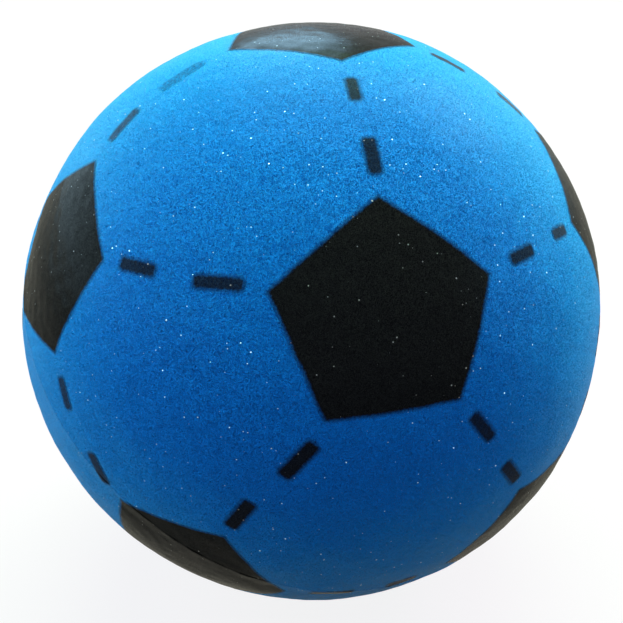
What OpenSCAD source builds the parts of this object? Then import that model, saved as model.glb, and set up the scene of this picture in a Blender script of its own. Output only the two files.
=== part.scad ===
// Soft foam football: two foam halves glued into one ball and printed with the classic
// pattern of pentagons joined by pairs of dashes.
// The origin is the ball's centre. +Z points up through the top pentagon, -Y is the front.

/* [Ball] */
// Diameter of the foam ball
ball_d = 200; // [120:1:300]

/* [Seam] */
// Tilt of the seam's axis away from straight up, in degrees
seam_tilt = 35.5; // [0:0.5:90]
// Turn of the seam's axis from the front towards the right, in degrees
seam_turn = 28; // [0:1:359]
// Thickness of the glue film between the two halves
glue_t = 0.2; // [0.1:0.05:1]
// How far the glue stops short of the bevelled rims
glue_setback = 0.5; // [0:0.1:5]
// Depth of the bevel on each half's rim, which shows outside as a crease
rim_bevel = 0.3; // [0.2:0.1:2]

/* [Ink] */
// Depth that the printed ink soaks into the foam
ink_depth = 0.4; // [0.2:0.05:1]

/* [Pentagons] */
// Angle at the ball's centre from a pentagon's middle to its corners, in degrees
corner_angle = 17.7; // [10:0.1:20]
// Length that the print loses at each blunt corner
corner_blunt = 0.7; // [0.1:0.1:3]

/* [Dashes] */
// Angle at the ball's centre between the middles of the two dashes of a pair, in degrees
dash_spread = 13.6; // [10:0.1:16]
// Length of a dash
dash_l = 11.5; // [7:0.5:14]
// Width of a dash
dash_w = 4; // [3:0.1:6]
// Radius on the corners of a dash
dash_corner_r = 1.3; // [0.5:0.1:1.4]

/* [Hidden] */
$fn = 180;
ball_r = ball_d / 2;
foam_colour = "#1b74cf";
glue_colour = "#d9cda2";
ink_colour = "#15191e";

// The pockets for the ink are cut from their floor to beyond the ball's surface
pocket_r = ball_r + ink_depth;

// The pentagons sit on an icosahedron's corners: one at each pole, and a ring above and below the middle
sides = 5;
ring_step = 360 / sides;
ring_lat = atan(1 / 2);
upper_names = ["front", "right", "back_right", "back_left", "left"];
lower_names = ["front_right", "right", "back", "left", "front_left"];

// Each pentagon's place: its name, its turn from the front towards the right, and its latitude
PLACES = concat(
    [["top", 0, 90]],
    [for (i = [0:sides - 1]) [str("upper_", upper_names[i]), i * ring_step, ring_lat]],
    [for (i = [0:sides - 1]) [str("lower_", lower_names[i]), (i + 0.5) * ring_step, -ring_lat]],
    [["bottom", 0, -90]]
);

// Pentagons are neighbours when the angle between them is under a right angle
PAIRS = [
    for (a = [0:len(PLACES) - 2])
        for (b = [a + 1:len(PLACES) - 1])
            if (direction(a) * direction(b) > 0) [a, b]
];

// The unit vector from the ball's centre to the middle of a pentagon
function direction(i) =
    let (turn = PLACES[i][1], lat = PLACES[i][2])
    [cos(lat) * sin(turn), -cos(lat) * cos(turn), sin(lat)];

function unit(v) = v / norm(v);

// The angle at the ball's centre under a length along its surface
function arc_angle(length) = length / ball_r * 180 / PI;

function pentagon_name(i) = str("pentagon_", PLACES[i][0]);

function dashes_name(pair) = str("dashes_", PLACES[pair[0]][0], "_to_", PLACES[pair[1]][0]);

// A neighbour of a pentagon, which one of its corners points at
function first_neighbour(i) = [
    for (pair = PAIRS)
        if (pair[0] == i || pair[1] == i) pair[0] == i ? pair[1] : pair[0]
][0];

// Turns its children so that +Z points along out, with +X leaning towards a second direction
module facing(out, towards) {
    x = unit(towards - (towards * out) * out);
    y = cross(out, x);
    multmatrix([
        [x[0], y[0], out[0], 0],
        [x[1], y[1], out[1], 0],
        [x[2], y[2], out[2], 0],
        [0, 0, 0, 1]
    ]) children();
}

// Turns its children so that +Z is the seam's axis
module on_seam() {
    rotate([0, seam_tilt, seam_turn - 90]) children();
}

// One half of the ball above the seam's plane, with a flat glue face and a bevelled rim
module half_ball() {
    intersection() {
        sphere(r = ball_r);
        translate([0, 0, glue_t / 2])
            cylinder(h = ball_r, r1 = ball_r - rim_bevel, r2 = 2 * ball_r - rim_bevel);
    }
}

// Foam of one half, with a shallow pocket under every printed mark
module foam(flip) {
    color(foam_colour) difference() {
        on_seam() rotate([flip, 0, 0]) half_ball();
        for (i = [0:len(PLACES) - 1]) pentagon_mark(i, pocket_r);
        for (pair = PAIRS) dash_marks(pair, pocket_r);
    }
}

module foam_half_upper() {
    foam(flip = 0);
}

module foam_half_lower() {
    foam(flip = 180);
}

// Thin disc of adhesive that joins the halves' flat faces
module glue_film() {
    color(glue_colour) on_seam()
        cylinder(h = glue_t, r = ball_r - rim_bevel - glue_setback, center = true);
}

// What its children hold of the layer from the floor of the ink out to a radius
module layer(outer_r) {
    intersection() {
        children();
        rotate([90, 0, 0]) difference() {
            sphere(r = outer_r);
            sphere(r = ball_r - ink_depth);
        }
    }
}

// One pentagon, whose five sides are planes through the ball's centre
module pentagon_mark(i, outer_r) {
    blunt_angle = corner_angle - arc_angle(corner_blunt);
    facing(direction(i), direction(first_neighbour(i)))
        layer(outer_r) intersection() {
            cylinder(h = ball_d, r1 = 0, r2 = ball_d * tan(corner_angle), $fn = sides);
            cylinder(h = ball_d, r1 = 0, r2 = ball_d * tan(blunt_angle));
        }
}

// Outline of one dash: a bar with rounded corners
module dash_outline() {
    flat_l = dash_l - 2 * dash_corner_r;
    flat_w = dash_w - 2 * dash_corner_r;
    square([dash_l, flat_w], center = true);
    square([flat_l, dash_w], center = true);
    for (x = [-1, 1], y = [-1, 1])
        translate([x * flat_l / 2, y * flat_w / 2]) circle(r = dash_corner_r);
}

// The two dashes between neighbouring pentagons, spread evenly about the middle of the line
module dash_marks(pair, outer_r) {
    a = direction(pair[0]);
    b = direction(pair[1]);
    facing(unit(a + b), b)
        for (side = [-1, 1])
            rotate([0, side * dash_spread / 2, 0])
                layer(outer_r) linear_extrude(height = ball_d) dash_outline();
}

// Ink soaked into the foam's skin, flush with the ball
module pentagon_print(i) {
    color(ink_colour) pentagon_mark(i, ball_r);
}

module dash_print(pair) {
    color(ink_colour) dash_marks(pair, ball_r);
}

foam_half_upper();
foam_half_lower();
glue_film();
for (i = [0:len(PLACES) - 1])
    pentagon_print(i);
for (pair = PAIRS)
    dash_print(pair);
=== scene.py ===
"""Soft foam football, dressed over the frame of its solids.

Two foam halves are glued along a tilted seam, and twelve pentagons joined by pairs of
dashes are printed over both. Lengths are in metres in the part's own frame: the origin is
the ball's centre, +Z points up through the top pentagon, and -Y is the front.
"""

import logging
import math
from dataclasses import dataclass, field
from enum import Enum

import bpy
import numpy as np
from mathutils import Matrix, Vector


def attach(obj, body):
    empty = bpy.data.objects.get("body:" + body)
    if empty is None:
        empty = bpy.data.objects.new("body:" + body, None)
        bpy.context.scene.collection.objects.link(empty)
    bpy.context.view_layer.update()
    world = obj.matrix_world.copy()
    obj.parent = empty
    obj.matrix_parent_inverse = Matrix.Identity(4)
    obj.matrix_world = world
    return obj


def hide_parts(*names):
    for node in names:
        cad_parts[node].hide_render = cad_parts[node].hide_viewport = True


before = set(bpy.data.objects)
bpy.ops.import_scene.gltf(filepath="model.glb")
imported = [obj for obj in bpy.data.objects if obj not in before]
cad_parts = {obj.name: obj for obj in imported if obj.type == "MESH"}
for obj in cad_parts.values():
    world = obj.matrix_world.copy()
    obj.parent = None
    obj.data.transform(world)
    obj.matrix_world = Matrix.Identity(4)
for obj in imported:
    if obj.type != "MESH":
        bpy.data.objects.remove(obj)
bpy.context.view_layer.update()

LOG = logging.getLogger("soft_football")
MM = 0.001
FLOOR_CLEARANCE = 0.02 * MM
TAU = 2 * math.pi
Colour = tuple[float, float, float, float]
WHITE: Colour = (1.0, 1.0, 1.0, 1.0)


def unit(vectors: np.ndarray) -> np.ndarray:
    """The vectors along the last axis, each at length one."""
    return vectors / np.linalg.norm(vectors, axis=-1, keepdims=True)


def heading(turn: float, rise: float) -> np.ndarray:
    """The unit vector at a turn from the front towards the right and a rise, in degrees."""
    turn, rise = math.radians(turn), math.radians(rise)
    return np.array([
        math.cos(rise) * math.sin(turn),
        -math.cos(rise) * math.cos(turn),
        math.sin(rise),
    ])


def axes_facing(out: np.ndarray, towards: np.ndarray, turn: float = 0.0) -> np.ndarray:
    """Axes whose z points out and whose x leans towards a second direction.

    Args:
        out: Unit vector for the z axis.
        towards: A direction that x leans to.
        turn: Angle in degrees that x and y are then turned by, about z.

    Returns:
        The three axes as the rows of a matrix.
    """
    x = unit(towards - (towards @ out) * out)
    y = np.cross(out, x)
    cos, sin = math.cos(math.radians(turn)), math.sin(math.radians(turn))
    return np.stack([cos * x + sin * y, cos * y - sin * x, out])


def smooth_step(low: float, high: float, values: np.ndarray) -> np.ndarray:
    """Rises from 0 at low to 1 at high along a cubic with level ends."""
    t = np.clip((values - low) / (high - low), 0, 1)
    return t * t * (3 - 2 * t)


def disc_grid(cells: int) -> tuple[np.ndarray, np.ndarray]:
    """A square grid pressed into a unit disc, with all its cells of one area.

    Each square ring becomes a circle: half the ring's side is the radius, and the way
    along a quarter of the ring is the angle.

    Args:
        cells: Number of cells along a side of the square.

    Returns:
        The radius, and the angle in radians, at each point of the grid.
    """
    side = np.linspace(-1, 1, cells + 1)
    a, b = np.meshgrid(side, side, indexing="ij")
    wide = np.abs(a) > np.abs(b)
    radius = np.where(wide, a, b)
    part = np.where(wide, b, a) / np.where(radius == 0, 1, radius)
    angle = np.where(wide, math.pi / 4 * part, math.pi / 2 - math.pi / 4 * part)
    return np.abs(radius), np.where(radius < 0, angle + math.pi, angle)


def grid_border(grid: np.ndarray) -> np.ndarray:
    """The values round a grid's border, in the order that is counterclockwise from outside."""
    return np.concatenate([grid[:-1, 0], grid[-1, :-1], grid[:0:-1, -1], grid[0, :0:-1]])


def grid_quads(numbers: np.ndarray) -> np.ndarray:
    """The quads of a grid of point numbers, each counterclockwise from outside."""
    corners = [numbers[:-1, :-1], numbers[1:, :-1], numbers[1:, 1:], numbers[:-1, 1:]]
    return np.stack(corners, axis=-1).reshape(-1, 4)


@dataclass
class Shell:
    """A closed mesh: a grid for its face, rings hung from the border, and a closing point."""

    face: np.ndarray
    rings: list[np.ndarray]
    close: np.ndarray

    def points(self) -> np.ndarray:
        """All the points: the grid, then each ring, then the closing point."""
        return np.concatenate([self.face.reshape(-1, 3), *self.rings, self.close[None]])

    def faces(self) -> tuple[np.ndarray, np.ndarray]:
        """Quads for the grid and between the rings, and triangles to the closing point.

        Returns:
            The quads and the triangles, as rows of point numbers that run
            counterclockwise from outside.
        """
        rows, columns = self.face.shape[:2]
        numbers = np.arange(rows * columns).reshape(rows, columns)
        quads = [grid_quads(numbers)]
        upper = grid_border(numbers)
        first = rows * columns
        for ring in self.rings:
            lower = np.arange(first, first + len(ring))
            quads.append(np.stack([
                lower, np.roll(lower, -1), np.roll(upper, -1), upper,
            ], axis=-1))
            upper = lower
            first += len(ring)
        fan = np.stack([np.full(len(upper), first), np.roll(upper, -1), upper], axis=-1)
        return np.concatenate(quads), fan


def make_piece(
    name: str, shells: list[Shell], traits: dict[str, np.ndarray], sharp: float
) -> bpy.types.Object:
    """Puts closed shells into one mesh object at the origin.

    Args:
        name: The piece's name.
        shells: The closed shells that make it up.
        traits: Values for each point, by the name that the materials read them under.
        sharp: Angle in degrees from which an edge is shaded sharp.

    Returns:
        The new object.
    """
    corners, sizes, first = [], [], 0
    for shell in shells:
        for faces in shell.faces():
            corners.append((faces + first).ravel())
            sizes.append(np.full(len(faces), faces.shape[1]))
        first += len(shell.points())
    sizes = np.concatenate(sizes)
    mesh = bpy.data.meshes.new(name)
    mesh.vertices.add(first)
    points = np.concatenate([shell.points() for shell in shells])
    mesh.vertices.foreach_set("co", points.astype(np.float32).ravel())
    mesh.loops.add(int(sizes.sum()))
    mesh.loops.foreach_set("vertex_index", np.concatenate(corners).astype(np.int32))
    mesh.polygons.add(len(sizes))
    mesh.polygons.foreach_set("loop_start", (np.cumsum(sizes) - sizes).astype(np.int32))
    mesh.update(calc_edges=True)
    mesh.validate()
    mesh.shade_smooth()
    mesh.set_sharp_from_angle(angle=math.radians(sharp))
    for trait, values in traits.items():
        layer = mesh.attributes.new(trait, "FLOAT", "POINT")
        layer.data.foreach_set("value", values.astype(np.float32))
    piece = bpy.data.objects.new(name, mesh)
    bpy.context.scene.collection.objects.link(piece)
    return piece


class Trait(Enum):
    """What each point of a piece tells the materials: lengths in millimetres, ink as a share."""

    EDGE = "print_edge"
    INK = "print_ink"
    SEAM = "seam_distance"


class Half(Enum):
    """The two foam halves, by the side of the seam that they are on."""

    UPPER = 1
    LOWER = -1


class Slot(Enum):
    """The record's material slots for the pieces made here."""

    FOAM = "foam"
    INK = "ink"


def seat(piece: bpy.types.Object, slot: Slot, *nodes: str) -> None:
    """Ties a piece to the ball's one body and hides the solids that it stands for.

    Args:
        piece: The finished piece.
        slot: Not used.
        nodes: Names of the solids.
    """
    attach(piece, "root")
    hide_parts(*nodes)
    LOG.info("%s: %d faces for %s", piece.name, len(piece.data.polygons), ", ".join(nodes))


@dataclass(frozen=True)
class Seam:
    """The tilted plane where the two halves meet, and the form of their rims.

    The rims roll in at a narrow gap and swell into a low welt. Behind them, the glue holds
    the flat faces apart.
    """

    tilt: float = 35.5
    turn: float = 28.0
    glue: float = 0.2 * MM
    gap: float = 0.02 * MM
    roll_width: float = 0.4 * MM
    roll_depth: float = 0.05 * MM
    welt_upper: float = 0.22 * MM
    welt_lower: float = 0.30 * MM
    welt_reach: float = 3.0 * MM

    @property
    def axis(self) -> np.ndarray:
        """The unit vector across the seam, into the upper half."""
        return heading(self.turn, 90 - self.tilt)

    def axes(self, half: Half) -> np.ndarray:
        """Axes for one half, whose z points from the seam into that half."""
        out = half.value * self.axis
        return axes_facing(out, np.array([1.0, 0.0, 0.0]))

    def crease(self, distance: np.ndarray) -> np.ndarray:
        """How far the rims roll in, on a quarter ellipse from the skin to the seam.

        Both rims also swell into a low welt, by a bell curve of the distance, and the lower
        one stands a little prouder.

        Args:
            distance: Distance from the seam's plane, positive into the upper half.

        Returns:
            Depth below the ball's skin, negative above it.
        """
        near = 1 - (np.abs(distance) - self.gap / 2) / self.roll_width
        roll = self.roll_depth * (1 - np.sqrt(1 - np.clip(near, 0, 1) ** 2))
        bell = np.exp(-(distance / self.welt_reach) ** 2)
        return roll - bell * np.where(distance < 0, self.welt_lower, self.welt_upper)


@dataclass(frozen=True)
class Swell:
    """One band of unevenness in the foam."""

    wavelength: float
    height: float
    waves: int


@dataclass(frozen=True)
class Skin:
    """The ball's outer surface: a radius for every direction."""

    seam: Seam
    radius: float = 100 * MM
    seed: int = 11
    swells: tuple[Swell, ...] = (
        Swell(70 * MM, 0.22 * MM, 14),
        Swell(18 * MM, 0.06 * MM, 28),
        Swell(5 * MM, 0.022 * MM, 48),
    )

    def swell(self, out: np.ndarray) -> np.ndarray:
        """Height of the foam's unevenness: sine waves along random axes, added up.

        Args:
            out: Unit vectors from the centre.

        Returns:
            The height at each of them.
        """
        rng = np.random.default_rng(self.seed)
        total = np.zeros(out.shape[:-1])
        for band in self.swells:
            axes = unit(rng.normal(size=(band.waves, 3)))
            phases = rng.uniform(0, TAU, band.waves)
            angle = out @ axes.T * (TAU * self.radius / band.wavelength) + phases
            total += band.height * math.sqrt(2 / band.waves) * np.sin(angle).sum(axis=-1)
        return total

    def from_seam(self, out: np.ndarray) -> np.ndarray:
        """Distance of points on the skin from the seam's plane."""
        return out @ self.seam.axis * self.radius

    def points(self, out: np.ndarray, lift: np.ndarray | float = 0.0) -> np.ndarray:
        """Points on the skin: each direction times radius plus swell less crease plus lift.

        Where the ball would reach below its floor it is pressed flat.

        Args:
            out: Unit vectors from the centre.
            lift: Height above the skin.

        Returns:
            The points.
        """
        reach = self.radius + self.swell(out) - self.seam.crease(self.from_seam(out)) + lift
        points = out * reach[..., None]
        points[..., 2] = np.maximum(points[..., 2], -self.radius)
        return points


@dataclass(frozen=True)
class Slip:
    """How far a printed mark strays, the size it came out, and the share of ink it took.

    Lengths are in millimetres, and the turn is in degrees.
    """

    along: float = 0.0
    across: float = 0.0
    turn: float = 0.0
    length: float = 11.5
    width: float = 4.1
    ink: float = 0.955


@dataclass(frozen=True)
class PentagonMark:
    """One printed pentagon, whose sides are arcs of great circles."""

    axes: np.ndarray
    radius: float
    seed: int
    corner_slips: np.ndarray
    ink: float = 1.0
    corner_angle: float = 17.7
    wander: float = 0.04 * MM
    waves: tuple[int, int] = (3, 24)
    cells: int = 140

    def sides(self) -> np.ndarray:
        """Unit vectors square to the sides' planes.

        A side's plane holds the ball's centre and two neighbouring corners, so the vector is
        the cross product of these corners.

        Returns:
            A vector for each side, pointing inwards, in the mark's axes.
        """
        count = len(self.corner_slips)
        turn = np.arange(count) * TAU / count
        tilt = math.radians(self.corner_angle)
        corners = np.stack([
            math.sin(tilt) * np.cos(turn), math.sin(tilt) * np.sin(turn),
            np.full(count, math.cos(tilt)),
        ], axis=-1)
        corners[:, :2] += self.corner_slips / self.radius
        return unit(np.cross(corners, np.roll(corners, -1, axis=0)))

    def unevenness(self, turn: np.ndarray) -> np.ndarray:
        """How far the outline wanders outwards: sine waves round the middle, added up.

        A wave's height falls with the square root of its count.

        Args:
            turn: Angles round the mark's middle, in radians.

        Returns:
            The distance at each of them.
        """
        rng = np.random.default_rng(self.seed)
        counts = np.arange(*self.waves)
        phases = rng.uniform(0, TAU, len(counts))
        weights = self.wander * rng.normal(size=len(counts)) / np.sqrt(counts / self.waves[0])
        return np.sin(turn[..., None] * counts + phases) @ weights

    def inside(self, out: np.ndarray) -> np.ndarray:
        """How far inside the outline: the least of the distances to the sides.

        Args:
            out: Unit vectors from the ball's centre.

        Returns:
            Distance along the skin, negative outside.
        """
        local = out @ self.axes.T
        turn = np.arctan2(local[..., 1], local[..., 0])
        to_side = np.arcsin(np.clip(local @ self.sides().T, -1, 1)).min(axis=-1)
        return self.radius * to_side + self.unevenness(turn)

    def grid(self) -> np.ndarray:
        """Unit vectors over the mark: a disc grid stretched out to the outline at each turn.

        Along each turn, the nearest side's plane gives how far the outline is.

        Returns:
            The grid of vectors.
        """
        share, turn = disc_grid(self.cells)
        sides = self.sides()
        away = -(np.cos(turn)[..., None] * sides[:, 0] + np.sin(turn)[..., None] * sides[:, 1])
        reach = np.arctan2(sides[:, 2], away).min(axis=-1)
        reach += self.unevenness(turn) / self.radius
        rise = share * reach
        local = np.stack([
            np.sin(rise) * np.cos(turn), np.sin(rise) * np.sin(turn), np.cos(rise),
        ], axis=-1)
        return local @ self.axes


@dataclass(frozen=True)
class DashMark:
    """One printed dash: a bar with rounded corners."""

    axes: np.ndarray
    radius: float
    length: float
    width: float
    ink: float
    corner: float = 1.3 * MM
    cells: tuple[int, int] = (30, 10)

    def inside(self, out: np.ndarray) -> np.ndarray:
        """How far inside the outline: the distance to a bar with round corners.

        Args:
            out: Unit vectors from the ball's centre.

        Returns:
            Distance along the skin, negative outside.
        """
        x, y, z = np.moveaxis(out @ self.axes.T, -1, 0)
        over_x = np.abs(self.radius * x) - self.length / 2 + self.corner
        over_y = np.abs(self.radius * y) - self.width / 2 + self.corner
        beyond = np.hypot(np.maximum(over_x, 0), np.maximum(over_y, 0))
        within = np.minimum(np.maximum(over_x, over_y), 0)
        return np.where(z > 0, self.corner - beyond - within, -self.radius)

    def grid(self) -> np.ndarray:
        """Unit vectors over the mark: lines across it, which are shorter round its corners.

        Returns:
            The grid of vectors.
        """
        ease = np.linspace(-1, 1, self.cells[0] + 1)
        share = np.linspace(-1, 1, self.cells[1] + 1)
        x = self.length / 2 * np.sin(ease * math.pi / 2)
        over = np.clip(np.abs(x) - self.length / 2 + self.corner, 0, self.corner)
        half = self.width / 2 - self.corner + np.sqrt(self.corner ** 2 - over ** 2)
        x = np.broadcast_to(x[:, None], (len(ease), len(share)))
        y = half[:, None] * share
        local = np.stack([x, y, np.full_like(y, self.radius)], axis=-1)
        return unit(local) @ self.axes


Mark = PentagonMark | DashMark


@dataclass
class Pattern:
    """The print over the ball: pentagons on an icosahedron's corners and dashes on its edges.

    A mark without a slip of its own gets one by chance. Its usual values and their spread
    are in the order of a slip's fields.
    """

    radius: float
    sides: int = 5
    dash_spread: float = 13.6
    seed: int = 5
    outline_seed: int = 100
    pentagon_spread: tuple[float, ...] = (0.6, 0.6, 0.7)
    dash_usual: tuple[float, ...] = (0.0, 0.0, 0.0, 11.5, 4.05)
    dash_slip_spread: tuple[float, ...] = (0.6, 0.9, 3.0, 1.1, 0.2)
    upper: tuple[str, ...] = ("front", "right", "back_right", "back_left", "left")
    lower: tuple[str, ...] = ("front_right", "right", "back", "left", "front_left")
    pentagon_slips: dict[str, Slip] = field(default_factory=lambda: {
        "upper_front": Slip(),
        "upper_left": Slip(),
        "top": Slip(),
        "upper_right": Slip(0.55, 0.1, 2.0),
        "lower_front_right": Slip(1.6, -1.9, -1.5),
        "lower_front_left": Slip(),
    })
    corner_slips: dict[str, tuple[tuple[float, float], ...]] = field(default_factory=lambda: {
        "upper_front": (
            (0.9, -1.7), (0.05, -0.05), (-0.05, -0.65), (1.3, -1.55), (-0.6, -1.2)),
        "upper_left": (
            (-1.6, -0.95), (-1.5, -0.6), (-1.3, -0.4), (-0.7, -0.5), (-0.9, 0.25)),
        "top": ((-0.25, 1.9), (0.9, 1.35), (0.6, 1.6), (0.25, 1.6), (0.95, 1.1)),
        "lower_front_left": (
            (-0.65, 1.25), (-0.55, 1.0), (-0.35, 1.6), (-0.9, 1.65), (-0.9, 1.05)),
    })
    dash_slips: dict[tuple[str, str], tuple[Slip, Slip]] = field(default_factory=lambda: {
        ("top", "upper_front"): (
            Slip(0.4, 2.1, -2.8, 9.6, 3.7), Slip(0.1, 2.4, -0.1, 11.6, 4.2)),
        ("top", "upper_left"): (
            Slip(2.5, 0.3, -1.1, 15.0, 4.6, 0.52), Slip(1.0, 0.2, 2.1, 12.2, 4.0, 0.86)),
        ("upper_front", "upper_right"): (
            Slip(2.0, -0.6, -2.1, 10.3, 3.8), Slip(0.6, -0.8, -3.8, 9.9, 3.6)),
        ("upper_front", "upper_left"): (
            Slip(0.3, 0.5, 7.2, 13.9, 3.8), Slip(0.7, 0.7, -2.1, 12.3, 3.8)),
        ("upper_left", "lower_front_left"): (
            Slip(0.0, -0.6, -9.1, 10.2, 4.0, 0.9), Slip(0.4, -1.1, -9.9, 11.2, 4.3, 0.92)),
        ("upper_front", "lower_front_right"): (
            Slip(-0.7, 2.4, 3.8, 11.6, 3.8), Slip(-1.1, 2.5, 4.5, 11.7, 4.1)),
        ("upper_front", "lower_front_left"): (
            Slip(0.0, 0.8, -7.3, 13.3, 4.4, 0.99), Slip(1.8, -2.3, 1.2, 13.3, 4.4, 0.99)),
    })

    def places(self) -> dict[str, np.ndarray]:
        """The middle of each pentagon: one at each pole, and a ring above and below the middle.

        Returns:
            Unit vectors by the pentagons' names.
        """
        step = 360 / self.sides
        rise = math.degrees(math.atan(1 / 2))
        found = {"top": heading(0, 90)}
        for i, name in enumerate(self.upper):
            found[f"upper_{name}"] = heading(i * step, rise)
        for i, name in enumerate(self.lower):
            found[f"lower_{name}"] = heading((i + 0.5) * step, -rise)
        found["bottom"] = heading(0, -90)
        return found

    def pairs(self) -> list[tuple[str, str]]:
        """Neighbouring pentagons: those with less than a right angle between them.

        Returns:
            The names of each two neighbours.
        """
        places = list(self.places().items())
        return [
            (a, b)
            for i, (a, out_a) in enumerate(places)
            for b, out_b in places[i + 1:]
            if out_a @ out_b > 0
        ]

    def slipped(self, axes: np.ndarray, slip: Slip) -> np.ndarray:
        """Axes of a mark after its slip along the skin and its turn."""
        shift = (slip.along * axes[0] + slip.across * axes[1]) * MM / self.radius
        return axes_facing(unit(axes[2] + shift), axes[0], slip.turn)

    def pentagons(self) -> dict[str, PentagonMark]:
        """Every pentagon's mark, with a corner towards a neighbour.

        Returns:
            The marks by the names of their solids.
        """
        places, pairs = self.places(), self.pairs()
        rng = np.random.default_rng(self.seed)
        marks = {}
        for i, (name, out) in enumerate(places.items()):
            first = next(pair for pair in pairs if name in pair)
            neighbour = first[1] if first[0] == name else first[0]
            along, across, turn = rng.normal(0, self.pentagon_spread)
            slip = self.pentagon_slips.get(name, Slip(along, across, turn))
            axes = self.slipped(axes_facing(out, places[neighbour]), slip)
            corners = np.array(self.corner_slips.get(name, ((0.0, 0.0),) * self.sides)) * MM
            seed = self.outline_seed + i
            marks[f"pentagon_{name}"] = PentagonMark(axes, self.radius, seed, corners)
        return marks

    def dashes(self) -> dict[str, list[DashMark]]:
        """Every pair of dashes, spread evenly about the middle of its line.

        Returns:
            The two marks of each pair, by the names of their solids.
        """
        places = self.places()
        count = len(self.dash_usual)
        rng = np.random.default_rng(self.seed + 1)
        marks = {}
        for a, b in self.pairs():
            line = axes_facing(unit(places[a] + places[b]), places[b])
            drawn = rng.normal(self.dash_usual, self.dash_slip_spread, (2, count))
            slips = self.dash_slips.get((a, b), tuple(Slip(*row) for row in drawn))
            marks[f"dashes_{a}_to_{b}"] = [
                self.dash(line, side * self.dash_spread / 2, slip)
                for side, slip in zip((-1, 1), slips)
            ]
        return marks

    def dash(self, line: np.ndarray, angle: float, slip: Slip) -> DashMark:
        """One dash at an angle from the middle of its line.

        Args:
            line: Axes at the middle of the line, with x along it.
            angle: Angle from the middle at the ball's centre, in degrees.
            slip: How the dash strays, and its size in millimetres.

        Returns:
            The dash's mark.
        """
        cos, sin = math.cos(math.radians(angle)), math.sin(math.radians(angle))
        out, along = cos * line[2] + sin * line[0], cos * line[0] - sin * line[2]
        axes = self.slipped(axes_facing(out, along), slip)
        return DashMark(axes, self.radius, slip.length * MM, slip.width * MM, slip.ink)

    def under(self, out: np.ndarray) -> tuple[np.ndarray, np.ndarray]:
        """What the print is like at each direction.

        Args:
            out: Unit vectors from the ball's centre.

        Returns:
            How far inside the nearest mark each of them is, negative on bare foam, and the
            share of ink that the mark took.
        """
        marks: list[Mark] = list(self.pentagons().values())
        marks += [dash for pair in self.dashes().values() for dash in pair]
        nearest = np.full(out.shape[:-1], -self.radius)
        ink = np.ones(out.shape[:-1])
        for mark in marks:
            inside = mark.inside(out)
            ink = np.where(inside > nearest, mark.ink, ink)
            nearest = np.maximum(nearest, inside)
        return nearest, ink


class Graph:
    """Adds and links the nodes of one material or node group."""

    def __init__(self, tree: bpy.types.NodeTree) -> None:
        """Starts on an empty tree."""
        self.tree = tree
        tree.nodes.clear()

    def add(
        self, kind: str, inputs: dict[str | int, object] | None = None, **settings: object
    ) -> bpy.types.Node:
        """Adds a node.

        Args:
            kind: The node's type, without the ShaderNode in front.
            inputs: Values or output sockets for its inputs, by name or number.
            settings: Values for its other properties.

        Returns:
            The new node.
        """
        prefix = "" if kind.startswith("NodeGroup") else "ShaderNode"
        node = self.tree.nodes.new(prefix + kind)
        for name, value in settings.items():
            setattr(node, name, value)
        for name, value in (inputs or {}).items():
            socket = node.inputs[name]
            if isinstance(value, bpy.types.NodeSocket):
                self.tree.links.new(value, socket)
            else:
                socket.default_value = value
        return node

    def math(self, operation: str, *values: object) -> bpy.types.NodeSocket:
        """The result of a math node on its values or sockets."""
        node = self.add("Math", dict(enumerate(values)), operation=operation)
        return node.outputs[0]

    def vector(self, operation: str, *values: object) -> bpy.types.NodeSocket:
        """The result of a vector math node on its vectors or sockets."""
        node = self.add("VectorMath", dict(enumerate(values)), operation=operation)
        return node.outputs[0]

    def ramp(
        self, value: object, low: object, high: object, to_low: object, to_high: object
    ) -> bpy.types.NodeSocket:
        """A value carried smoothly from one range to another."""
        node = self.add("MapRange", {
            "Value": value, "From Min": low, "From Max": high,
            "To Min": to_low, "To Max": to_high,
        }, interpolation_type="SMOOTHSTEP")
        return node.outputs["Result"]

    def noise(self, vector: object, scale: object, detail: float) -> bpy.types.NodeSocket:
        """A noise value over a vector."""
        node = self.add("TexNoise", {"Vector": vector, "Scale": scale, "Detail": detail})
        return node.outputs["Fac"]

    def mix(self, factor: object, a: object, b: object) -> bpy.types.NodeSocket:
        """One colour mixed into another."""
        node = self.add("Mix", {0: factor, 6: a, 7: b}, data_type="RGBA")
        return node.outputs[2]

    def group(self, tree: bpy.types.NodeTree, inputs: dict[str, object]) -> bpy.types.Node:
        """Places a node group with its own values."""
        return self.add("Group", inputs, node_tree=tree)

    def trait(self, trait: Trait) -> bpy.types.NodeSocket:
        """A value that the piece's points carry."""
        return self.add("Attribute", attribute_name=trait.value).outputs["Fac"]


def new_group(
    name: str, inputs: dict[str, str], outputs: dict[str, str]
) -> tuple[Graph, bpy.types.bpy_prop_collection]:
    """Starts a node group with named sockets.

    Args:
        name: The group's name.
        inputs: Socket types of its inputs, by name.
        outputs: Socket types of its outputs, by name.

    Returns:
        The graph to build in, and the sockets that bring its inputs.
    """
    tree = bpy.data.node_groups.new(name, "ShaderNodeTree")
    for way, sockets in (("INPUT", inputs), ("OUTPUT", outputs)):
        for socket, kind in sockets.items():
            tree.interface.new_socket(socket, in_out=way, socket_type=f"NodeSocket{kind}")
    graph = Graph(tree)
    return graph, graph.add("NodeGroupInput").outputs


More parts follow.
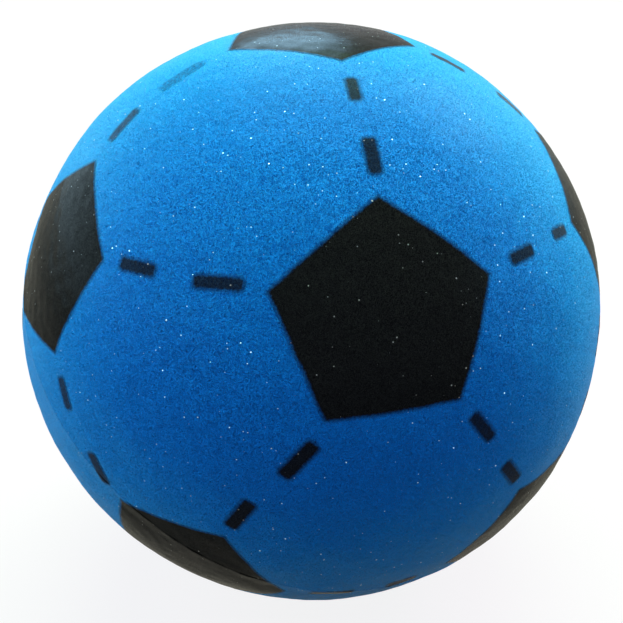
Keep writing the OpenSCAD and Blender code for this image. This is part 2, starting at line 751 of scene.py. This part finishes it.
@dataclass
class FoamEffects:
    """Node groups for what foam and ink share: open cells, the print's soft edge and the seam.

    The mottling's scale is a share of the cells' scale, and the other scales are in waves to
    the metre. The sparkles' size is a share of their spacing.
    """

    cell_share: float = 0.6
    mottle_scale: float = 0.07
    sparkle_rarity: float = 11.0
    sparkle_size: float = 0.27
    sparkle_core: float = 0.7
    drift_scale: float = 28.0
    ragged_scale: float = 1500.0
    patch_scale: float = 160.0
    cells: bpy.types.NodeTree = field(init=False)
    edge: bpy.types.NodeTree = field(init=False)
    seam: bpy.types.NodeTree = field(init=False)

    def __post_init__(self) -> None:
        """Builds the groups."""
        self.cells = self.build_cells()
        self.edge = self.build_edge()
        self.seam = self.build_seam()

    def build_cells(self) -> bpy.types.NodeTree:
        """Open cells that each face their own way, slow mottling, and sparkles on a few walls.

        Returns:
            The group. A cell's grain is its own tone with some fine noise, and its facet is
            the smooth normal with its own lean added.
        """
        graph, given = new_group(
            "open_cells",
            {"Vector": "Vector", "Cell Size": "Float", "Tilt": "Float",
             "Sparkle Spacing": "Float"},
            {"Grain": "Float", "Height": "Float", "Facet": "Vector", "Mottle": "Float",
             "Sparkle": "Float"},
        )
        vector = given["Vector"]
        scale = graph.math("DIVIDE", 1.0, given["Cell Size"])
        cells = graph.add("TexVoronoi", {"Vector": vector, "Scale": scale}, feature="F1").outputs
        chance = graph.add("SeparateColor", {"Color": cells["Color"]}).outputs[2]
        fine = graph.ramp(graph.noise(vector, scale, 1.0), 0.3, 0.7, 0.0, 1.0)
        fine = graph.math("MULTIPLY", fine, 1 - self.cell_share)
        grain = graph.math("MULTIPLY_ADD", chance, self.cell_share, fine)
        height = graph.ramp(cells["Distance"], 0.1, 0.8, 1.0, 0.0)
        lean = graph.vector("SUBTRACT", cells["Color"], (0.5, 0.5, 0.5))
        lean = graph.vector("MULTIPLY", lean, given["Tilt"])
        upright = graph.add("NewGeometry").outputs["Normal"]
        facet = graph.vector("NORMALIZE", graph.vector("ADD", upright, lean))
        slow = graph.noise(vector, graph.math("MULTIPLY", scale, self.mottle_scale), 3.0)
        mottle = graph.ramp(slow, 0.3, 0.7, 0.0, 1.0)
        sparse = graph.math("DIVIDE", 1.0, given["Sparkle Spacing"])
        dots = graph.add("TexVoronoi", {"Vector": vector, "Scale": sparse}, feature="F1").outputs
        luck = graph.add("SeparateColor", {"Color": dots["Color"]}).outputs[0]
        size = graph.math("POWER", luck, self.sparkle_rarity)
        size = graph.math("MULTIPLY", size, self.sparkle_size)
        drift = graph.ramp(graph.noise(vector, self.drift_scale, 1.0), 0.35, 0.65, 0.8, 1.0)
        size = graph.math("MULTIPLY", size, drift)
        core = graph.math("MULTIPLY", size, self.sparkle_core)
        sparkle = graph.ramp(dots["Distance"], core, size, 1.0, 0.0)
        graph.add("NodeGroupOutput", {
            "Grain": grain, "Height": height, "Facet": facet, "Mottle": mottle,
            "Sparkle": sparkle,
        })
        return graph.tree

    def build_edge(self) -> bpy.types.NodeTree:
        """How much of the foam the ink covers: ragged at a mark's outline, patchy where thin.

        Returns:
            The group, which takes its lengths in millimetres.
        """
        graph, given = new_group(
            "print_edge",
            {"Vector": "Vector", "Inside": "Float", "Ink": "Float", "Softness": "Float",
             "Raggedness": "Float"},
            {"Cover": "Float"},
        )
        vector = given["Vector"]
        sway = graph.math("SUBTRACT", graph.noise(vector, self.ragged_scale, 2.0), 0.5)
        shift = graph.math("MULTIPLY", sway, given["Raggedness"])
        inside = graph.math("ADD", given["Inside"], shift)
        soft = given["Softness"]
        fade = graph.math("MULTIPLY", soft, -1.0)
        cover = graph.ramp(inside, fade, graph.math("MULTIPLY", soft, 0.8), 0.0, 1.0)
        ink = given["Ink"]
        thin = graph.math("SUBTRACT", 2.0, graph.math("MULTIPLY", ink, 2.0))
        patchiness = graph.math("MULTIPLY", sway, thin)
        cover = graph.math("MULTIPLY", cover, graph.math("ADD", ink, patchiness))
        graph.add("NodeGroupOutput", {"Cover": cover})
        return graph.tree

    def build_seam(self) -> bpy.types.NodeTree:
        """Painted shade along the seam's groove, and a painted highlight on the lip just below it,
        both broken in places.

        Returns:
            The group, which takes its distance in millimetres.
        """
        graph, given = new_group(
            "seam_line",
            {"Vector": "Vector", "Distance": "Float"},
            {"Groove": "Float", "Lip": "Float"},
        )
        away = graph.math("ABSOLUTE", given["Distance"])
        patchy = graph.noise(given["Vector"], self.patch_scale, 3.0)
        broken = graph.ramp(patchy, 0.4, 0.6, 1.0, 0.3)
        # Painted shade: darker close to the seam's plane, where the crease falls in shade.
        groove = graph.math("MULTIPLY", graph.ramp(away, 0.15, 0.6, 1.0, 0.0), broken)
        # Painted highlight: a paler band on the lip just below the seam, broken in patches.
        below = graph.math("MULTIPLY", given["Distance"], -1.0)
        rise = graph.ramp(below, -0.2, 0.1, 0.0, 1.0)
        fall = graph.ramp(below, 0.3, 1.1, 1.0, 0.0)
        patchiness = graph.ramp(patchy, 0.35, 0.65, 0.2, 1.0)
        lip = graph.math("MULTIPLY", graph.math("MULTIPLY", rise, fall), patchiness)
        graph.add("NodeGroupOutput", {"Groove": groove, "Lip": lip})
        return graph.tree


@dataclass(frozen=True)
class FoamFinish:
    """Dyed soft foam, or the same foam under ink: grain, soft print edge, seam and sparkles.

    A thin coat gives the bloom of foam that is lit from behind. A paler blue is painted into the
    base where the foam is seen at a slant, as a painted sheen, and a painted highlight lies along
    the lip below the seam. Pairs of values run from dark to light grain.
    """

    name: str
    roughness: tuple[float, float]
    specular: float
    bloom: tuple[float, float]
    bloom_roughness: float
    bloom_ior: float
    tilt: float
    glint: Colour
    foam_dark: Colour = (0.002, 0.130, 0.560, 1.0)
    foam_light: Colour = (0.010, 0.400, 1.000, 1.0)
    foam_deep: Colour = (0.002, 0.205, 0.655, 1.0)
    lip_highlight: Colour = (0.090, 0.560, 0.980, 1.0)
    painted_sheen: Colour = (0.010, 0.480, 0.950, 1.0)
    ink_dark: Colour = (0.0012, 0.0012, 0.0014, 1.0)
    ink_light: Colour = (0.0240, 0.0200, 0.0170, 1.0)
    glint_roughness: float = 0.35
    cell_size: float = 0.17 * MM
    cell_depth: float = 0.03 * MM
    sparkle_spacing: float = 1.1 * MM
    softness: float = 1.05
    raggedness: float = 0.8
    mottle_share: float = 0.16
    slant_range: tuple[float, float] = (0.2, 0.85)
    painted_sheen_share: float = 0.9
    lip_highlight_share: float = 0.75
    groove_shade_share: float = 0.95
    bloom_range: tuple[float, float] = (0.2, 0.8)

    def build(self, effects: FoamEffects) -> bpy.types.Material:
        """Makes the material.

        Args:
            effects: The node groups that it is made of.

        Returns:
            The material.
        """
        material = bpy.data.materials.new(self.name)
        material.use_nodes = True
        graph = Graph(material.node_tree)
        place = graph.add("TexCoord").outputs["Object"]
        cells = graph.group(effects.cells, {
            "Vector": place, "Cell Size": self.cell_size, "Tilt": self.tilt,
            "Sparkle Spacing": self.sparkle_spacing,
        }).outputs
        cover = graph.group(effects.edge, {
            "Vector": place, "Inside": graph.trait(Trait.EDGE), "Ink": graph.trait(Trait.INK),
            "Softness": self.softness, "Raggedness": self.raggedness,
        }).outputs["Cover"]
        seam = graph.group(effects.seam, {
            "Vector": place, "Distance": graph.trait(Trait.SEAM),
        }).outputs
        foam = graph.mix(cells["Grain"], self.foam_dark, self.foam_light)
        patch = graph.math("MULTIPLY", cells["Mottle"], self.mottle_share)
        foam = graph.mix(patch, foam, self.foam_deep)
        # Painted sheen: the base colour turns paler where the foam is seen at a slant.
        slant = graph.add("LayerWeight", {"Blend": 0.5}).outputs["Facing"]
        sheen = graph.ramp(slant, *self.slant_range, 0.0, self.painted_sheen_share)
        foam = graph.mix(sheen, foam, self.painted_sheen)
        # Painted highlight: a paler line along the lip just below the seam.
        lip = graph.math("MULTIPLY", seam["Lip"], self.lip_highlight_share)
        foam = graph.mix(lip, foam, self.lip_highlight)
        ink = graph.mix(cells["Grain"], self.ink_dark, self.ink_light)
        colour = graph.mix(cover, foam, ink)
        # Painted shade: the ink turns dark along the seam's groove.
        inked = graph.ramp(cover, 0.0, 1.0, 0.0, self.groove_shade_share)
        dark = graph.math("MULTIPLY", seam["Groove"], inked)
        colour = graph.mix(dark, colour, self.ink_dark)
        colour = graph.mix(cells["Sparkle"], colour, self.glint)
        rough = graph.ramp(cells["Grain"], 0.0, 1.0, *self.roughness)
        rough = graph.ramp(cells["Sparkle"], 0.0, 1.0, rough, self.glint_roughness)
        bloom = graph.ramp(cells["Grain"], *self.bloom_range, *self.bloom)
        bloom = graph.math("MULTIPLY", bloom, graph.math("SUBTRACT", 1.0, dark))
        bump = graph.add("Bump", {
            "Height": cells["Height"], "Strength": 1.0, "Distance": self.cell_depth,
            "Normal": cells["Facet"],
        }).outputs["Normal"]
        shader = graph.add("BsdfPrincipled", {
            "Base Color": colour, "Roughness": rough, "Metallic": cells["Sparkle"],
            "Normal": bump, "Specular IOR Level": self.specular,
            "Coat Weight": bloom, "Coat Roughness": self.bloom_roughness,
            "Coat IOR": self.bloom_ior,
        })
        graph.add("OutputMaterial", {"Surface": shader.outputs[0]})
        return material


@dataclass(frozen=True)
class GlueFinish:
    """Cured adhesive: pale amber with faint streaks and bubbles."""

    pale: Colour = (0.70, 0.61, 0.36, 1.0)
    deep: Colour = (0.52, 0.42, 0.20, 1.0)
    roughness: tuple[float, float] = (0.35, 0.6)
    streak_scale: float = 90.0
    bubble_scale: float = 700.0
    bubble_depth: float = 0.05 * MM
    bubble_strength: float = 0.4

    def build(self) -> bpy.types.Material:
        """Makes the material.

        Returns:
            The material.
        """
        material = bpy.data.materials.new("cured_glue")
        material.use_nodes = True
        graph = Graph(material.node_tree)
        place = graph.add("TexCoord").outputs["Object"]
        streaks = graph.noise(place, self.streak_scale, 4.0)
        bubbles = graph.noise(place, self.bubble_scale, 2.0)
        bump = graph.add("Bump", {
            "Height": bubbles, "Strength": self.bubble_strength, "Distance": self.bubble_depth,
        }).outputs["Normal"]
        shader = graph.add("BsdfPrincipled", {
            "Base Color": graph.mix(streaks, self.deep, self.pale),
            "Roughness": graph.ramp(bubbles, 0.3, 0.7, *self.roughness), "Normal": bump,
        })
        graph.add("OutputMaterial", {"Surface": shader.outputs[0]})
        return material


@dataclass
class FoamHalf:
    """One half of the ball: a dome of foam with a rolled rim, a flat glue face and pockets."""

    half: Half
    skin: Skin
    pattern: Pattern
    finish: bpy.types.Material
    cells: int = 276
    rim_start: float = 2.0 * MM
    rim_rows: int = 14
    pocket_depth: float = 0.4 * MM
    pocket_wall: tuple[float, float] = (0.2 * MM, 1.2 * MM)
    glue_rings: tuple[float, ...] = (0.993, 0.95, 0.7, 0.4)
    crowding: float = 1.3
    sharp: float = 75.0

    @property
    def name(self) -> str:
        """The name of the solid that this half stands for."""
        return f"foam_half_{self.half.name.lower()}"

    def dome(self) -> np.ndarray:
        """Unit vectors over the dome: a disc grid lifted so that every cell keeps its area.

        The rise above the seam falls from one with the square of the disc's radius.

        Returns:
            The grid of vectors.
        """
        share, turn = disc_grid(self.cells)
        rise = 1 - (1 - self.rim_start / self.skin.radius) * share ** 2
        flat = np.sqrt(np.clip(1 - rise ** 2, 0, None))
        local = np.stack([flat * np.cos(turn), flat * np.sin(turn), rise], axis=-1)
        return local @ self.skin.seam.axes(self.half)

    def rim(self, border: np.ndarray) -> np.ndarray:
        """Unit vectors in rows below the dome's border, closer together towards the seam.

        Args:
            border: Unit vectors round the dome's border.

        Returns:
            A row of unit vectors for each height.
        """
        axis = self.skin.seam.axes(self.half)[2]
        level = unit(border - (border @ axis)[:, None] * axis)
        share = np.linspace(1, 0, self.rim_rows + 1)[1:] ** self.crowding
        low = self.skin.seam.gap / 2
        rise = (low + (self.rim_start - low) * share)[:, None, None] / self.skin.radius
        return np.sqrt(1 - rise ** 2) * level + rise * axis

    def on_skin(self, out: np.ndarray) -> np.ndarray:
        """Points of the foam, which lies lower in a pocket under each printed mark."""
        inside, _ = self.pattern.under(out)
        return self.skin.points(out, -self.pocket_depth * smooth_step(*self.pocket_wall, inside))

    def build(self) -> bpy.types.Object:
        """Makes the half, with its traits, finish and seat.

        Returns:
            The piece.
        """
        axis = self.skin.seam.axes(self.half)[2]
        dome = self.dome()
        rim = self.rim(grid_border(dome))
        centre = axis * self.skin.seam.glue / 2
        rings = [self.on_skin(row) for row in rim]
        # The flat face is the rim's last row, drawn in step by step and set back for the glue
        level = rings[-1] - (rings[-1] @ axis)[:, None] * axis
        rings += [centre + share * level for share in self.glue_rings]
        shell = Shell(self.on_skin(dome), rings, centre)
        out = unit(shell.points())
        inside, ink = self.pattern.under(out)
        piece = make_piece(f"soft_{self.name}", [shell], {
            Trait.EDGE.value: inside / MM,
            Trait.INK.value: ink,
            Trait.SEAM.value: self.skin.from_seam(out) / MM,
        }, self.sharp)
        piece.data.materials.append(self.finish)
        seat(piece, Slot.FOAM, self.name)
        return piece


@dataclass
class InkPrint:
    """One printed piece: a thin film of ink that follows the foam's skin."""

    name: str
    marks: list[Mark]
    skin: Skin
    finish: bpy.types.Material
    lift: float = 0.05 * MM
    depth: float = 0.35 * MM
    floor_rings: tuple[float, ...] = (0.75, 0.5, 0.25)
    sharp: float = 55.0

    def film(self, mark: Mark) -> Shell:
        """A closed film: the mark's grid just above the skin, its wall, and rings for its floor.

        Args:
            mark: The printed mark.

        Returns:
            The film's shell.
        """
        grid = mark.grid()
        border = grid_border(grid)
        middle = mark.axes[2]
        rings = [self.skin.points(border, -self.depth)]
        for share in self.floor_rings:
            rings.append(self.skin.points(unit(middle + share * (border - middle)), -self.depth))
        close = self.skin.points(middle[None], -self.depth)[0]
        return Shell(self.skin.points(grid, self.lift), rings, close)

    def build(self) -> bpy.types.Object:
        """Makes the piece, with its traits, finish and seat.

        Returns:
            The piece.
        """
        shells = [self.film(mark) for mark in self.marks]
        rays = [unit(shell.points()) for shell in shells]
        out = np.concatenate(rays)
        inside = [mark.inside(ray) for mark, ray in zip(self.marks, rays)]
        ink = [np.full(len(ray), mark.ink) for mark, ray in zip(self.marks, rays)]
        piece = make_piece(f"ink_{self.name}", shells, {
            Trait.EDGE.value: np.concatenate(inside) / MM,
            Trait.INK.value: np.concatenate(ink),
            Trait.SEAM.value: self.skin.from_seam(out) / MM,
        }, self.sharp)
        piece.data.materials.append(self.finish)
        seat(piece, Slot.INK, self.name)
        return piece


@dataclass
class GlueFilm:
    """The film of adhesive between the halves, which stays as its solid."""

    finish: bpy.types.Material
    name: str = "glue_film"

    def dress(self) -> None:
        """Gives the solid its finish."""
        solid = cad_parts[self.name]
        solid.data.materials.clear()
        solid.data.materials.append(self.finish)
        LOG.info("%s: solid kept, with its own finish", self.name)


@dataclass(frozen=True)
class Lamp:
    """One wide soft light, far enough away to light the floor evenly.

    At a level of 1, a white surface that faces a white lamp renders white. A lamp for glints
    only shows in the gloss alone.
    """

    name: str
    turn: float
    rise: float
    level: float
    width: float
    colour: tuple[float, float, float] = (1.0, 1.0, 1.0)
    glints_only: bool = False
    distance: float = 2.0

    def build(self) -> None:
        """Hangs the lamp at its turn and rise, facing the ball's centre."""
        light = bpy.data.lights.new(self.name, "SUN")
        light.energy = math.pi * self.level
        light.angle = math.radians(self.width)
        light.color = self.colour
        lamp = bpy.data.objects.new(self.name, light)
        lamp.location = Vector(heading(self.turn, self.rise) * self.distance)
        lamp.rotation_euler = lamp.location.to_track_quat("Z", "Y").to_euler()
        lamp.visible_diffuse = not self.glints_only
        bpy.context.scene.collection.objects.link(lamp)


@dataclass
class Studio:
    """The pale floor, the soft light and the camera."""

    floor_level: float
    floor_radius: float = 6.0
    floor_cells: int = 24
    turn: float = -12.21
    rise: float = 28.14
    roll: float = 0.28
    distance: float = 0.30777
    lens: float = 48.54
    sensor: float = 36.0
    shift: tuple[float, float] = (-0.00024, -0.00117)
    near_clip: float = 0.01
    floor_bounce: Colour = (0.05, 0.046, 0.035, 1.0)
    floor_paint: Colour = (0.130, 0.084, 0.087, 1.0)
    floor_glow: float = 0.86
    floor_mirrored: Colour = (0.62, 0.60, 0.47, 1.0)
    ambient: float = 0.28
    ambient_colour: Colour = (0.36, 0.36, 1.0, 1.0)
    lamps: tuple[Lamp, ...] = (
        Lamp("top_softbox", 162.0, 64.0, 1.40, 45.0, (0.50, 1.0, 0.63)),
        Lamp("left_softbox", -100.0, 8.0, 0.95, 110.0, (0.42, 0.78, 1.0)),
        Lamp("right_softbox", 100.0, 8.0, 0.93, 90.0, (0.42, 0.78, 1.0)),
        Lamp("back_left_softbox", -125.0, 10.0, 0.45, 70.0, (0.50, 0.82, 1.0)),
        Lamp("back_right_softbox", 123.0, 38.0, 0.42, 30.0, (1.0, 0.92, 1.0)),
        Lamp("rim_softbox", 173.0, 30.0, 0.50, 20.0, (0.40, 0.74, 1.0), glints_only=True),
    )

    def build_floor(self) -> None:
        """Lays a flat round floor: a disc grid at the floor's level."""
        share, turn = disc_grid(self.floor_cells)
        reach = self.floor_radius * share
        level = np.full_like(reach, self.floor_level)
        points = np.stack([reach * np.cos(turn), reach * np.sin(turn), level], axis=-1)
        numbers = np.arange(reach.size).reshape(reach.shape)
        mesh = bpy.data.meshes.new("studio_floor")
        mesh.from_pydata(points.reshape(-1, 3), [], grid_quads(numbers).tolist())
        mesh.materials.append(self.floor_finish())
        floor = bpy.data.objects.new("studio_floor", mesh)
        bpy.context.scene.collection.objects.link(floor)

    @staticmethod
    def seen_directly(graph: Graph) -> bpy.types.NodeSocket:
        """One where the camera, a reflection or glass looks at a surface, else zero.

        Args:
            graph: The graph of the surface's finish.

        Returns:
            The socket with that value.
        """
        rays = graph.add("LightPath").outputs
        seen = graph.math("MAXIMUM", rays["Is Camera Ray"], rays["Is Glossy Ray"])
        return graph.math("MAXIMUM", seen, rays["Is Transmission Ray"])

    def floor_finish(self) -> bpy.types.Material:
        """A floor that looks white, keeps the ball's shadow and throws back little light.

        Returns:
            The material.
        """
        material = bpy.data.materials.new("pale_floor")
        material.use_nodes = True
        graph = Graph(material.node_tree)
        seen = self.seen_directly(graph)
        paint = graph.add("BsdfDiffuse", {
            "Color": graph.mix(seen, self.floor_bounce, self.floor_paint),
        }).outputs[0]
        mirrored = graph.add("LightPath").outputs["Is Glossy Ray"]
        glow = graph.add("Emission", {
            "Color": graph.mix(mirrored, WHITE, self.floor_mirrored),
            "Strength": graph.math("MULTIPLY", seen, self.floor_glow),
        }).outputs[0]
        both = graph.add("AddShader", {0: paint, 1: glow}).outputs[0]
        graph.add("OutputMaterial", {"Surface": both})
        return material

    def build_world(self) -> None:
        """Even light from all round, with a white backdrop for the camera."""
        world = bpy.data.worlds.new("studio_world")
        bpy.context.scene.world = world
        world.use_nodes = True
        graph = Graph(world.node_tree)
        seen = self.seen_directly(graph)
        strength = graph.ramp(seen, 0.0, 1.0, self.ambient, 1.0)
        colour = graph.mix(seen, self.ambient_colour, WHITE)
        back = graph.add("Background", {"Color": colour, "Strength": strength}).outputs[0]
        graph.add("OutputWorld", {"Surface": back})

    def build_camera(self) -> None:
        """Stands the camera at the photograph's angle and distance, looking at the centre."""
        back = heading(self.turn, self.rise)
        level = np.cross([0.0, 0.0, 1.0], back)
        axes = axes_facing(back, level, self.roll)
        camera = bpy.data.objects.new("camera", bpy.data.cameras.new("camera"))
        camera.data.lens = self.lens
        camera.data.sensor_width = self.sensor
        camera.data.shift_x, camera.data.shift_y = self.shift
        camera.data.clip_start = self.near_clip
        placed = Matrix(axes.T.tolist()).to_4x4()
        placed.translation = Vector(back * self.distance)
        camera.matrix_world = placed
        bpy.context.scene.collection.objects.link(camera)
        bpy.context.scene.camera = camera

    def build(self) -> None:
        """Sets up the whole studio."""
        self.build_camera()
        self.build_floor()
        self.build_world()
        for lamp in self.lamps:
            lamp.build()
        bpy.context.scene.view_settings.view_transform = "Standard"
        LOG.info("studio: floor, %d lamps and camera", len(self.lamps))


def main() -> None:
    """Builds the halves, the print, the glue and the studio in order."""
    logging.basicConfig(level=logging.INFO, format="%(name)s: %(message)s")
    skin = Skin(Seam())
    pattern = Pattern(skin.radius)
    effects = FoamEffects()
    foam = FoamFinish(
        "blue_foam", roughness=(0.6, 0.5), specular=0.035, bloom=(0.06, 0.26), bloom_roughness=0.3,
        bloom_ior=1.22, tilt=2.4, glint=(0.55, 0.86, 1.0, 1.0),
    ).build(effects)
    ink = FoamFinish(
        "black_ink", roughness=(0.42, 0.30), specular=0.0, bloom=(0.3, 1.0), bloom_roughness=0.25,
        bloom_ior=1.1, tilt=1.15, glint=(0.22, 0.22, 0.22, 1.0),
    ).build(effects)
    for half in Half:
        FoamHalf(half, skin, pattern, foam).build()
    for name, mark in pattern.pentagons().items():
        InkPrint(name, [mark], skin, ink).build()
    for name, marks in pattern.dashes().items():
        InkPrint(name, marks, skin, ink).build()
    GlueFilm(GlueFinish().build()).dress()
    Studio(-skin.radius - FLOOR_CLEARANCE).build()


if __name__ == "__main__":
    main()
